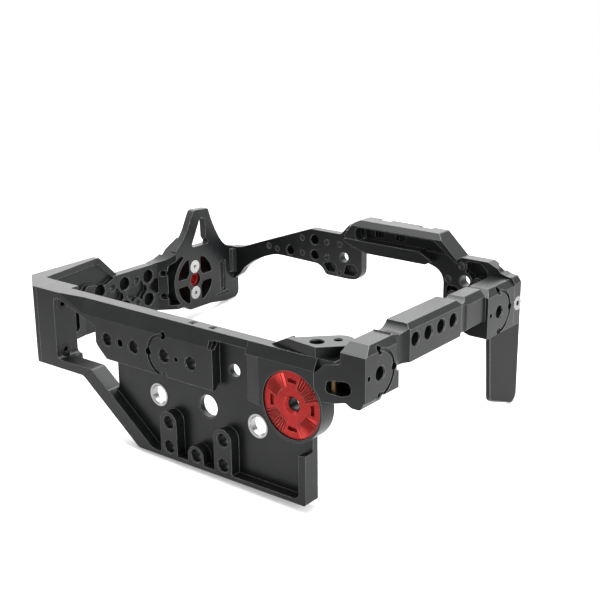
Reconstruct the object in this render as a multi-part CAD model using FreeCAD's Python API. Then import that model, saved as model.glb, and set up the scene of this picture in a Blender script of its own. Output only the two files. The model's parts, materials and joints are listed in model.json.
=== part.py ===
import FreeCAD, Part
import math
import os

# Camera cage: a ring of milled bars and plates with a rear handle, two toothed rosettes and threaded holes.
# Millimetres. Origin: centre of the front rosette's toothed face.
# +X right along the front beam, +Y to the rear, +Z up along the beam's height.

# Overall ring
LEFT_X = -188.5
RIGHT_X = 40.0
TOP_Z = 24.3
SIDE_BOTTOM_Z = -17.5
SEAT_GAP = 0.05

# Front beam and plate
SEAM_X = -169.0
CORNER_X = 12.8
PLATE_DEPTH = 9.0
POCKET_DEPTH = 5.5
HEAD_DEPTH = 14.2
HEAD_LENGTH = 16.5
HEAD_END_X = SEAM_X + HEAD_LENGTH
BEVEL_DEPTH = 2.6
BEVEL_LOW_Z = 19.0
PLATE_LEFT_X = -98.0
PLATE_RIGHT_X = 8.0
PLATE_BOTTOM_Z = -47.0
PLATE_WALL = 2.3
RIGHT_WALL = 4.0
RIGHT_WALL_TOP_Z = -23.0
STRUT_LEFT_X = -136.5
STRUT_HEIGHT = 4.7
WINDOW_WALL = 13.0
WINDOW_LEFT_X = SEAM_X + WINDOW_WALL
WINDOW_TOP_Z = 21.0
FLOOR_LEFT_X = -116.0

# Accessory rail
RAIL_LEFT_X = -125.3
RAIL_RIGHT_X = -46.3
RAIL_BOTTOM_Z = -4.3
RAIL_TOP_Z = 16.5
RAIL_UNDERCUT = 2.2
RAIL_LIP = 1.8
RAIL_ROW_Z = 6.1
FACET_TOP_Z = 18.4

# Threads, drawn at their outer diameter
QUARTER_R = 3.175
SMALL_R = 1.9
PIN_HOLE_R = 1.2
CHAMFER = 0.45

# Locating groove round a mount
LOCATE_R = 10.2
LOCATE_WIDTH = 1.6
LOCATE_DEPTH = 1.2
LOCATE_POCKET_R = 1.9
LOCATE_POCKET_DEPTH = 3.5
LOCATE_PIN_OFFSET = 8.3

# Toothed rosettes
ROSETTE_R = 15.9
ROSETTE_THICK = 4.4
TOOTH_HEIGHT = 0.9
TOOTH_PITCH_DEG = 6.0
TEETH_PER_SECTOR = 9
TOOTH_INNER_R = 8.4
TOOTH_OUTER_R = 15.1
TOOTH_FILL = 0.92
HUB_HOLE_R = 3.0
HUB_MOUTH_R = 4.4
SPIGOT_R = 4.2
SPIGOT_SHORT = 0.6
KIDNEY_INNER_R = 10.4
KIDNEY_OUTER_R = 12.6
KIDNEY_HALF_DEG = 13.0
KIDNEY_DEPTH = 1.6
ROSETTE_GAP = 0.25
ROSETTE_RIM = 1.4
ROSETTE_SCREW_PITCH_R = 8.2
ROSETTE_SCREW_R = 1.6
ROSETTE_HEAD_R = 3.9
ROSETTE_SCREW_DEPTH = 2.6

# Bushes and plate holes
BUSH_R = 5.85
BUSH_BORE_R = 4.4
BUSH_FLANGE = 0.6
BUSH_BODY_R = 5.2
PLAIN_HOLE_R = 5.6
HOLE_LEFT = (-87.4, -17.8)
HOLE_MIDDLE = (-54.9, -15.9)
HOLE_RIGHT = (-23.9, -17.9)
COLUMN_R = 5.5
COLUMNS = ((-76.7, -28.0, -40.9), (-41.5, -28.0, -40.9))
MIDDLE_BOSS = (-59.1, -40.9)
MIDDLE_BOSS_R = 5.0

# Side plate
SIDE_SKIN_X = LEFT_X + 5.5
SIDE_POCKET_X = LEFT_X + 2.5
FRAME_INNER_FRONT_X = -178.4
FRAME_INNER_REAR_X = -184.6
FRAME_END_Y = 58.0
HONEYCOMB_TOP_Z = 11.6
CELL_PITCH = 19.05
CELL_FIRST_Y = 56.0
CELL_ROWS_Z = (5.2, -8.9)
BIG_CELL_R = 4.2
SMALL_CELL_R = 2.0
CELL_RIM = 1.3
HORN_X = -174.0
HORN_THICK = 4.5
LOBE_Y = 124.8
LOBE_Z = -2.6
LOBE_R = 18.0
LOBE_THICK = HORN_X - LEFT_X - ROSETTE_THICK
LOBE_BACK_X = HORN_X - LOBE_THICK
WINDOW_FILLET = 1.3
ARM_Y = 159.2
ARM_THICK = 5.0
ARM_END_X = -74.7
HORN_DRAWN = 34.4
BEND_R = 3.0
BEND_CHAMFER = 3.5
ARM_PITCH = 9.2
ARM_BIG_R = 2.9
ARM_SMALL_R = 1.5

# Right bar
BAR_WIDTH = 13.0
BLOCK_Z = (10.5, 31.2)
BLOCK_CHAMFER = 3.0
BLOCK_ONE_END_Y = 25.0
MIDDLE_Y = (32.0, 76.0)
MIDDLE_TOP_Z = 36.6
BAR_BOTTOM_Z = 19.3
BLOCK_TWO_Y = (102.5, 127.5)
MIDDLE_HOLES_Y = (37.9, 48.4, 58.9, 69.4)
MIDDLE_HOLES_Z = 29.0

# Rear plate
REAR_THICK = 6.5
REAR_TOP_Z = 40.7
HANDLE_FRONT_Y = 122.0
HANDLE_X = (-54.0, -2.5)
HANDLE_TOP_Z = 52.0
HANDLE_BAND = 2.8
CHANNEL_Z = (42.4, 48.6)
CHANNEL_DEPTH = 7.0
STRIP_Z = (35.1, 41.8)
STRIP_X = (-48.0, -4.8)
STRIP_THICK = BLOCK_TWO_Y[1] - HANDLE_FRONT_Y
LEG_THICK = 2.2
LEG_TOP_Y = 104.2
LEG_END_Y = 106.9
LEG_FRONT_Z = -23.4
LEG_BOTTOM_Z = -33.0
PAD_THICK = 0.9
PAD_EDGE = 0.5

# Screws and dowels
JOINT_SCREW_R = 2.0
JOINT_HEAD_R = 3.5
JOINT_HEAD = 3.6
HEX_R = 1.5
DOWEL_R = 1.5
DOWEL_LENGTH = 8.0

# Set screws on the front beam
SET_SCREWS = ((-63.2, 5.8), (-50.4, 5.8))
SET_SCREW_R = 2.0
SET_SCREW_DEPTH = 5.0

# Accessory tab
TAB_THICK = 5.0
TAB_LEFT = (-5.2, 4.25)
TAB_RIGHT = (12.1, 2.2)
TAB_REACH = 13.1
TAB_WIDTH = 14.4
TAB_RAMP_X = -14.9
TAB_RAMP_Y = (5.45, 8.9)
TAB_BIG_HOLE = (8.1, 8.7)
TAB_SMALL_HOLE = (14.1, 16.1)
TAB_PINS = ((-1.2, 5.6), (2.8, 6.4))
TAB_PIN_DEPTH = 3.5

# Mounts of the right bar, as (Y, Z), and the strap pin, as (X, Y)
MOUNTS_RIGHT = ((10.9, 21.1), (112.8, 21.7))
PIN_XY = (21.2, 3.4)
PIN_R = 1.4
PIN_Z = (8.6, 19.4)

# Screw at the bar's rear end and screws of the handle strip
END_SCREW = (131.2, 21.4)
END_SCREW_LENGTH = 8.0
STRIP_SCREWS_X = (-42.0, -20.0)
STRIP_SCREW_Z = 38.2
STRIP_SCREW_END_Y = 124.0

NORMALS = {
    "front": FreeCAD.Vector(0, 1, 0),
    "side": FreeCAD.Vector(1, 0, 0),
    "plan": FreeCAD.Vector(0, 0, 1),
}


def place(plane, u, v, w):
    """Point from plane coordinates: front is (X, Z) at Y, side is (Y, Z) at X, plan is (X, Y) at Z."""
    if plane == "front":
        return FreeCAD.Vector(u, w, v)
    if plane == "side":
        return FreeCAD.Vector(w, u, v)
    return FreeCAD.Vector(u, v, w)


def unit(u, v):
    length = math.hypot(u, v)
    return u / length, v / length


def outline(plane, corners, w):
    """Closed wire through corners (u, v) or (u, v, radius); a radius turns the corner into a tangent arc."""
    stations = []
    count = len(corners)
    for index, corner in enumerate(corners):
        u, v = corner[0], corner[1]
        radius = corner[2] if len(corner) > 2 else 0
        if not radius:
            stations.append(((u, v), None, (u, v)))
            continue
        last = corners[index - 1]
        following = corners[(index + 1) % count]
        back = unit(last[0] - u, last[1] - v)
        ahead = unit(following[0] - u, following[1] - v)
        cosine = back[0] * ahead[0] + back[1] * ahead[1]
        half = math.acos(max(-1.0, min(1.0, cosine))) / 2
        run = radius / math.tan(half)
        mid = unit(back[0] + ahead[0], back[1] + ahead[1])
        reach = radius / math.sin(half) - radius
        start = (u + back[0] * run, v + back[1] * run)
        end = (u + ahead[0] * run, v + ahead[1] * run)
        stations.append((start, (u + mid[0] * reach, v + mid[1] * reach), end))
    edges = []
    for index, (start, mid, end) in enumerate(stations):
        if mid:
            points = [place(plane, p[0], p[1], w) for p in (start, mid, end)]
            edges.append(Part.Arc(*points).toShape())
        onward = stations[(index + 1) % count][0]
        if math.hypot(onward[0] - end[0], onward[1] - end[1]) > 1e-6:
            a = place(plane, end[0], end[1], w)
            b = place(plane, onward[0], onward[1], w)
            edges.append(Part.LineSegment(a, b).toShape())
    return Part.Wire(edges)


def prism(plane, corners, w0, w1):
    """Solid of an outline between two stations along the plane's normal."""
    face = Part.Face(outline(plane, corners, w0))
    return face.extrude(NORMALS[plane] * (w1 - w0))


def block(x, y, z):
    """Box from three (low, high) pairs."""
    size = (x[1] - x[0], y[1] - y[0], z[1] - z[0])
    return Part.makeBox(size[0], size[1], size[2], FreeCAD.Vector(x[0], y[0], z[0]))


def rod(plane, u, v, radius, w0, w1):
    """Cylinder along the plane's normal."""
    low = min(w0, w1)
    return Part.makeCylinder(radius, abs(w1 - w0), place(plane, u, v, low), NORMALS[plane])


def cone(plane, u, v, r0, r1, w0, w1):
    """Cone frustum of radius r0 at w0 and r1 at w1."""
    if w1 < w0:
        w0, w1, r0, r1 = w1, w0, r1, r0
    return Part.makeCone(r0, r1, w1 - w0, place(plane, u, v, w0), NORMALS[plane])


def hole(plane, u, v, radius, face, end, chamfer=CHAMFER):
    """Cutter for a hole that starts at a face, with a countersunk mouth."""
    inward = 1 if end > face else -1
    outside = face - inward
    cutter = rod(plane, u, v, radius, outside, end)
    mouth = cone(plane, u, v, radius + chamfer, radius, face, face + inward * chamfer)
    lip = rod(plane, u, v, radius + chamfer, outside, face)
    return cutter.fuse([mouth, lip])


def cut_all(body, cutters):
    return body.cut(Part.makeCompound(cutters)) if len(cutters) > 1 else body.cut(cutters[0])


def fuse_all(shapes):
    return shapes[0].fuse(shapes[1:]).removeSplitter()


def locating_groove(plane, u, v, face, inward, open_deg):
    """Half-round groove with three round pockets and a pin hole, beside a threaded mount.

    open_deg is the direction, in the plane, of the groove's middle."""
    floor = face + inward * LOCATE_DEPTH
    outside = face - inward
    ring = rod(plane, u, v, LOCATE_R + LOCATE_WIDTH / 2, outside, floor)
    ring = ring.cut(rod(plane, u, v, LOCATE_R - LOCATE_WIDTH / 2, outside - inward, floor + inward))
    angle = math.radians(open_deg)
    along = (math.cos(angle), math.sin(angle))
    across = (-along[1], along[0])
    reach = LOCATE_R * 2
    half = [
        (u + across[0] * reach, v + across[1] * reach),
        (u - across[0] * reach, v - across[1] * reach),
        (u + (along[0] - across[0]) * reach, v + (along[1] - across[1]) * reach),
        (u + (along[0] + across[0]) * reach, v + (along[1] + across[1]) * reach),
    ]
    ring = ring.common(prism(plane, half, min(outside, floor), max(outside, floor)))
    cutters = [ring]
    for turn in (-90, 0, 90):
        direction = angle + math.radians(turn)
        pocket_u = u + LOCATE_R * math.cos(direction)
        pocket_v = v + LOCATE_R * math.sin(direction)
        cutters.append(rod(plane, pocket_u, pocket_v, LOCATE_POCKET_R, outside,
                           face + inward * LOCATE_POCKET_DEPTH))
    pin_u = u - along[0] * LOCATE_PIN_OFFSET
    pin_v = v - along[1] * LOCATE_PIN_OFFSET
    cutters.append(rod(plane, pin_u, pin_v, PIN_HOLE_R, outside, face + inward * LOCATE_POCKET_DEPTH))
    return cutters


def tooth(angle_deg):
    """One radial tooth: a ridge whose width grows with the radius."""
    half = math.radians(TOOTH_PITCH_DEG / 2 * TOOTH_FILL)
    middle = math.radians(angle_deg)
    wires = []
    for radius in (TOOTH_INNER_R, TOOTH_OUTER_R):
        spread = radius * math.tan(half)
        out = (radius * math.cos(middle), radius * math.sin(middle))
        side = (-math.sin(middle) * spread, math.cos(middle) * spread)
        base = TOOTH_HEIGHT + 0.1
        points = [
            FreeCAD.Vector(out[0] - side[0], base, out[1] - side[1]),
            FreeCAD.Vector(out[0] + side[0], base, out[1] + side[1]),
            FreeCAD.Vector(out[0], 0, out[1]),
        ]
        wires.append(Part.makePolygon(points + points[:1]))
    return Part.makeLoft(wires, True, True)


def kidney(angle_deg):
    """Curved slot between two tooth sectors."""
    ring = rod("front", 0, 0, KIDNEY_OUTER_R, TOOTH_HEIGHT - 1, TOOTH_HEIGHT + KIDNEY_DEPTH)
    ring = ring.cut(rod("front", 0, 0, KIDNEY_INNER_R, TOOTH_HEIGHT - 2, TOOTH_HEIGHT + KIDNEY_DEPTH + 1))
    reach = ROSETTE_R * 1.3
    low = math.radians(angle_deg - KIDNEY_HALF_DEG)
    high = math.radians(angle_deg + KIDNEY_HALF_DEG)
    wedge = [(0, 0), (reach * math.cos(low), reach * math.sin(low)),
             (reach * math.cos(high), reach * math.sin(high))]
    return ring.common(prism("front", wedge, TOOTH_HEIGHT - 1, TOOTH_HEIGHT + KIDNEY_DEPTH))


def rosette(spigot_length):
    """Toothed disc with its teeth on -Y and a hub spigot behind, centred on the origin."""
    disc = rod("front", 0, 0, ROSETTE_R, TOOTH_HEIGHT, ROSETTE_THICK)
    spigot = rod("front", 0, 0, SPIGOT_R, ROSETTE_THICK, ROSETTE_THICK + spigot_length)
    teeth = []
    for sector in (45, 135, 225, 315):
        for index in range(TEETH_PER_SECTOR):
            teeth.append(tooth(sector + (index - (TEETH_PER_SECTOR - 1) / 2) * TOOTH_PITCH_DEG))
    body = disc.fuse([spigot] + teeth)
    cutters = [kidney(angle) for angle in (0, 90, 180, 270)]
    cutters.append(hole("front", 0, 0, HUB_HOLE_R, TOOTH_HEIGHT, ROSETTE_THICK + spigot_length + 1,
                        HUB_MOUTH_R - HUB_HOLE_R))
    for side in (-1, 1):
        cutters.append(rod("front", 0, side * ROSETTE_SCREW_PITCH_R, ROSETTE_SCREW_R + SEAT_GAP,
                           ROSETTE_THICK - ROSETTE_SCREW_DEPTH, ROSETTE_THICK + 1))
    return cut_all(body, cutters)


def turn_to_side(shape, y, z, x):
    """Turn a shape made round the front rosette's axis so that -Y becomes -X, and put it at (x, y, z)."""
    turned = shape.copy()
    turned.rotate(FreeCAD.Vector(0, 0, 0), FreeCAD.Vector(0, 0, 1), -90)
    turned.translate(FreeCAD.Vector(x, y, z))
    return turned


def cap_screw(plane, u, v, face, inward, length):
    """Socket head screw whose head's top lies at face, pointing inward."""
    seat = face + inward * JOINT_HEAD
    head = rod(plane, u, v, JOINT_HEAD_R, face, seat)
    body = head.fuse(rod(plane, u, v, JOINT_SCREW_R, seat, seat + inward * length))
    return body.cut(hexagon(plane, u, v, HEX_R, face, face + inward * JOINT_HEAD * 0.6))


def hexagon(plane, u, v, radius, w0, w1):
    corners = [(u + radius * math.cos(math.radians(60 * k)), v + radius * math.sin(math.radians(60 * k)))
               for k in range(6)]
    return prism(plane, corners, w0, w1)


def cap_screw_hole(plane, u, v, face, inward, length):
    """Counterbored hole for a cap screw, with clearance."""
    seat = face + inward * JOINT_HEAD
    head = rod(plane, u, v, JOINT_HEAD_R + 0.2, face - inward * 3, seat)
    return [head, rod(plane, u, v, JOINT_SCREW_R + SEAT_GAP, seat, seat + inward * (length + 0.3))]


def countersunk_screw(plane, u, v, face, inward, length):
    """Countersunk screw flush with face, pointing inward."""
    head = ROSETTE_HEAD_R - ROSETTE_SCREW_R
    end = face + inward * (length - SEAT_GAP)
    body = cone(plane, u, v, ROSETTE_HEAD_R, ROSETTE_SCREW_R, face, face + inward * head)
    body = body.fuse(rod(plane, u, v, ROSETTE_SCREW_R, face + inward * head, end))
    return body.cut(hexagon(plane, u, v, HEX_R * 0.8, face, face + inward * head * 0.7))


def countersink(plane, u, v, face, inward, length):
    """Hole for a countersunk screw: seated at its cone, clear round its shank."""
    head = ROSETTE_HEAD_R - ROSETTE_SCREW_R
    return [
        cone(plane, u, v, ROSETTE_HEAD_R + SEAT_GAP, ROSETTE_SCREW_R + SEAT_GAP, face,
             face + inward * head),
        rod(plane, u, v, ROSETTE_HEAD_R + SEAT_GAP, face - inward, face),
        rod(plane, u, v, ROSETTE_SCREW_R + SEAT_GAP, face + inward * head, face + inward * (length + 1)),
    ]


# Screw and dowel stations of the four corners of the ring, as plane coordinates
JOINTS = {
    "front_left": {"plane": "side", "screws": ((6.0, 16.0), (6.0, -9.0)),
                   "dowels": ((6.0, 4.0), (11.0, 4.0))},
    "front_right": {"plane": "side", "dowels": ((2.7, 14.8), (6.8, 14.8))},
    "rear_right": {"plane": "front", "screws": ((32.5, 29.0),), "dowels": ((32.0, 14.5),)},
    "rear_left": {"plane": "front", "screws": ((-79.6, 35.1),), "dowels": ((-83.0, 30.2), (-78.4, 28.9))},
}
DOWEL_HALF = DOWEL_LENGTH / 2
FRONT_LEFT_LENGTH = 14.0
REAR_RIGHT_LENGTH = 12.0
REAR_LEFT_LENGTH = 10.0
REAR_BACK_Y = BLOCK_TWO_Y[1] + REAR_THICK
LEG_TOP_Z = BLOCK_Z[0] - SEAT_GAP
ARM_BACK_Y = ARM_Y + ARM_THICK
BOSS_R = ROSETTE_R + ROSETTE_RIM


def dowel_holes(plane, stations, seam):
    return [rod(plane, u, v, DOWEL_R + SEAT_GAP, seam - DOWEL_HALF - 0.2, seam + DOWEL_HALF + 0.2)
            for u, v in stations]


def dowels(plane, stations, seam):
    low = seam - DOWEL_HALF
    return Part.makeCompound([rod(plane, u, v, DOWEL_R, low, low + DOWEL_LENGTH) for u, v in stations])


def front_plate():
    """Front beam with rail, window frame, pocketed lower plate and bosses."""
    frame = [
        (SEAM_X, TOP_Z), (CORNER_X, TOP_Z), (CORNER_X, -8), (PLATE_RIGHT_X, -14),
        (PLATE_RIGHT_X, PLATE_BOTTOM_Z, 1.5), (PLATE_LEFT_X, PLATE_BOTTOM_Z, 3),
        (STRUT_LEFT_X, SIDE_BOTTOM_Z, 4), (SEAM_X, SIDE_BOTTOM_Z),
    ]
    body = prism("front", frame, 0, PLATE_DEPTH)
    head = [(SEAM_X, TOP_Z), (HEAD_END_X, TOP_Z), (HEAD_END_X, SIDE_BOTTOM_Z), (SEAM_X, SIDE_BOTTOM_Z)]
    body = body.fuse([prism("front", head, PLATE_DEPTH, HEAD_DEPTH),
                      rod("front", 0, 0, BOSS_R, 0, PLATE_DEPTH)])

    slope = (PLATE_BOTTOM_Z - SIDE_BOTTOM_Z) / (PLATE_LEFT_X - STRUT_LEFT_X)
    sill_z = SIDE_BOTTOM_Z + STRUT_HEIGHT
    strut_x = STRUT_LEFT_X + 6.5
    notch_z = sill_z + slope * (FLOOR_LEFT_X - strut_x)
    window = [
        (WINDOW_LEFT_X, WINDOW_TOP_Z, 2.5), (WINDOW_LEFT_X + 4.3, WINDOW_TOP_Z, 1), (RAIL_LEFT_X, 11.6),
        (RAIL_LEFT_X, 2.5, 4),
        (FLOOR_LEFT_X - 2, RAIL_BOTTOM_Z), (FLOOR_LEFT_X, RAIL_BOTTOM_Z), (FLOOR_LEFT_X, notch_z, 2),
        (strut_x, sill_z, 3), (WINDOW_LEFT_X, sill_z, 2.5),
    ]
    pocket_z = PLATE_BOTTOM_Z + PLATE_WALL
    pocket_x = strut_x + (pocket_z - sill_z) / slope
    wall_x = PLATE_RIGHT_X - RIGHT_WALL
    pocket = [
        (FLOOR_LEFT_X - 2, RAIL_BOTTOM_Z), (FLOOR_LEFT_X - 2, notch_z + 2), (pocket_x, pocket_z, 4),
        (wall_x, pocket_z, 3), (wall_x, RIGHT_WALL_TOP_Z), (PLATE_RIGHT_X + 14, RIGHT_WALL_TOP_Z + 3),
        (PLATE_RIGHT_X + 14, RAIL_BOTTOM_Z),
    ]
    hollow = prism("front", pocket, -1, POCKET_DEPTH)
    hollow = hollow.fuse(block((RAIL_RIGHT_X, -26.0), (-1, POCKET_DEPTH), (RAIL_BOTTOM_Z - 1, 20.5)))
    keep = [rod("front", 0, 0, BOSS_R, -2, POCKET_DEPTH + 1)]
    for x, high, low in COLUMNS:
        keep.append(rod("front", x, high, COLUMN_R, -2, POCKET_DEPTH + 1))
        keep.append(block((x - COLUMN_R, x + COLUMN_R), (-2, POCKET_DEPTH + 1), (PLATE_BOTTOM_Z, high)))
    boss_x, boss_z = MIDDLE_BOSS
    keep.append(rod("front", boss_x, boss_z, MIDDLE_BOSS_R, -2, POCKET_DEPTH + 1))
    keep.append(block((boss_x - MIDDLE_BOSS_R, boss_x + MIDDLE_BOSS_R), (-2, POCKET_DEPTH + 1),
                      (PLATE_BOTTOM_Z, boss_z)))
    hollow = cut_all(hollow, keep)
    body = cut_all(body, [prism("front", window, -1, HEAD_DEPTH + 1), hollow])

    cutters = []
    bevel = [(-1, RAIL_TOP_Z), (0, RAIL_TOP_Z), (BEVEL_DEPTH, TOP_Z), (BEVEL_DEPTH, TOP_Z + 1),
             (-1, TOP_Z + 1)]
    cutters.append(prism("side", bevel, -134, -26))
    bevel[0] = (-1, BEVEL_LOW_Z)
    bevel[1] = (0, BEVEL_LOW_Z)
    cutters.append(prism("side", bevel, -26, CORNER_X + 1))
    start = Part.makePolygon([place("side", u, v, HEAD_END_X) for u, v in
                              ((-0.2, TOP_Z - 0.1), (0.1, TOP_Z + 0.2), (-0.2, TOP_Z + 0.2),
                               (-0.2, TOP_Z - 0.1))])
    full = Part.makePolygon([place("side", u, v, -134) for u, v in
                             ((-0.4, RAIL_TOP_Z - 1.2), (BEVEL_DEPTH + 0.4, TOP_Z + 1.2),
                              (-0.4, TOP_Z + 1.2),
                              (-0.4, RAIL_TOP_Z - 1.2))])
    cutters.append(Part.makeLoft([start, full], True, True))
    facet = [(-26.5, -1), (-18.4, -1), (-18.4, 0), (-26.0, 1.3), (-26.5, 1.3)]
    cutters.append(prism("plan", facet, RAIL_BOTTOM_Z - 1, FACET_TOP_Z))
    undercut = [(RAIL_LIP, RAIL_BOTTOM_Z - 1), (RAIL_LIP, RAIL_BOTTOM_Z),
                (RAIL_LIP + RAIL_UNDERCUT, RAIL_BOTTOM_Z + RAIL_UNDERCUT),
                (POCKET_DEPTH, RAIL_BOTTOM_Z + RAIL_UNDERCUT), (POCKET_DEPTH, RAIL_BOTTOM_Z - 1)]
    cutters.append(prism("side", undercut, FLOOR_LEFT_X, RAIL_RIGHT_X))
    notch = [(-1, RAIL_TOP_Z - 0.8), (1.8, RAIL_TOP_Z - 0.8), (4.2, RAIL_TOP_Z + 2.2), (-1, RAIL_TOP_Z + 4)]
    cutters.append(prism("side", notch, RAIL_RIGHT_X - 2.4, RAIL_RIGHT_X + 1))
    for x, radius in ((-117.1, QUARTER_R), (-108.1, SMALL_R), (-98.5, QUARTER_R), (-77.9, QUARTER_R),
                      (-60.3, QUARTER_R)):
        cutters.append(hole("front", x, RAIL_ROW_Z, radius, 0, PLATE_DEPTH + 1))
    cutters.append(hole("front", -37.6, RAIL_ROW_Z, QUARTER_R, POCKET_DEPTH, PLATE_DEPTH + 1))
    cutters += locating_groove("front", -77.9, RAIL_ROW_Z, 0, 1, 180)
    for x, high, low in COLUMNS:
        cutters.append(hole("front", x, high, QUARTER_R, 0, PLATE_DEPTH + 1))
        cutters.append(hole("front", x, low, QUARTER_R, 0, PLATE_DEPTH + 1))
    cutters.append(hole("front", boss_x, boss_z, QUARTER_R, 0, PLATE_DEPTH + 1))
    for x, z in (HOLE_LEFT, HOLE_RIGHT):
        cutters.append(rod("front", x, z, BUSH_R + SEAT_GAP, POCKET_DEPTH - 1, POCKET_DEPTH + BUSH_FLANGE))
        cutters.append(rod("front", x, z, BUSH_BODY_R + SEAT_GAP, POCKET_DEPTH, PLATE_DEPTH + 1))
    cutters.append(hole("front", HOLE_MIDDLE[0], HOLE_MIDDLE[1], PLAIN_HOLE_R, POCKET_DEPTH,
                        PLATE_DEPTH + 1))
    cutters.append(rod("front", 0, 0, ROSETTE_R + ROSETTE_GAP, -1, ROSETTE_THICK))
    cutters.append(rod("front", 0, 0, SPIGOT_R + SEAT_GAP, ROSETTE_THICK - 1, PLATE_DEPTH + 1))
    for side in (-1, 1):
        cutters += countersink("front", 0, side * ROSETTE_SCREW_PITCH_R, PLATE_DEPTH, -1, PLATE_DEPTH)
    for x, y in SET_SCREWS:
        cutters.append(rod("plan", x, y, SET_SCREW_R + SEAT_GAP, TOP_Z - SET_SCREW_DEPTH, TOP_Z + 1))
    for y, z in JOINTS["front_left"]["screws"]:
        cutters += cap_screw_hole("side", y, z, WINDOW_LEFT_X, -1, FRONT_LEFT_LENGTH)
    cutters += dowel_holes("side", JOINTS["front_left"]["dowels"], SEAM_X)
    cutters += dowel_holes("side", JOINTS["front_right"]["dowels"], CORNER_X)
    cutters += tab_pin_holes()
    return cut_all(body, cutters)


def accessory_tab():
    """Flat tab that points to the rear right at 45 degrees, with a ramp at its left end and two holes."""
    side = TAB_WIDTH / math.sqrt(2)
    tip = (TAB_RIGHT[0] + TAB_REACH, TAB_RIGHT[1] + TAB_REACH)
    far = (tip[0] - side, tip[1] + side)
    corners = [
        TAB_LEFT, TAB_RIGHT, (tip[0], tip[1], TAB_WIDTH * 0.46), (far[0], far[1], TAB_WIDTH * 0.46),
        (TAB_LEFT[0], far[1] - far[0] + TAB_LEFT[0]),
    ]
    top = TOP_Z + TAB_THICK
    body = prism("plan", corners, TOP_Z, top)
    ramp = prism("plan", [(TAB_RAMP_X, TAB_RAMP_Y[0]), (TAB_LEFT[0] + 1, TAB_LEFT[1] - 0.1),
                          (TAB_LEFT[0] + 1, TAB_RAMP_Y[1]), (TAB_RAMP_X, TAB_RAMP_Y[1])], TOP_Z, top)
    slope = prism("front", [(TAB_RAMP_X, TOP_Z), (TAB_LEFT[0], top), (TAB_LEFT[0] + 1, top),
                            (TAB_LEFT[0] + 1, TOP_Z)],
                  TAB_RAMP_Y[0] - 5, TAB_RAMP_Y[1] + 1)
    body = fuse_all([body, ramp.common(slope)])
    cutters = [
        hole("plan", TAB_BIG_HOLE[0], TAB_BIG_HOLE[1], QUARTER_R, top, TOP_Z - 1),
        hole("plan", TAB_SMALL_HOLE[0], TAB_SMALL_HOLE[1], SMALL_R, top, TOP_Z - 1),
    ]
    return cut_all(body, cutters + tab_pin_holes())


def tab_pin_holes():
    reach = TAB_PIN_DEPTH + SEAT_GAP
    return [rod("plan", x, y, DOWEL_R + SEAT_GAP, TOP_Z - reach, TOP_Z + reach) for x, y in TAB_PINS]


def tab_pins():
    return Part.makeCompound([rod("plan", x, y, DOWEL_R, TOP_Z - TAB_PIN_DEPTH, TOP_Z + TAB_PIN_DEPTH)
                              for x, y in TAB_PINS])


def side_cells():
    """Centres of the honeycomb's big and small holes, as (Y, Z)."""
    big = [(CELL_FIRST_Y + k * CELL_PITCH, z) for z in CELL_ROWS_Z for k in range(3)]
    small = [(CELL_FIRST_Y + (k + 0.5) * CELL_PITCH, z) for z in CELL_ROWS_Z for k in range(3)]
    return big, small


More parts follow.
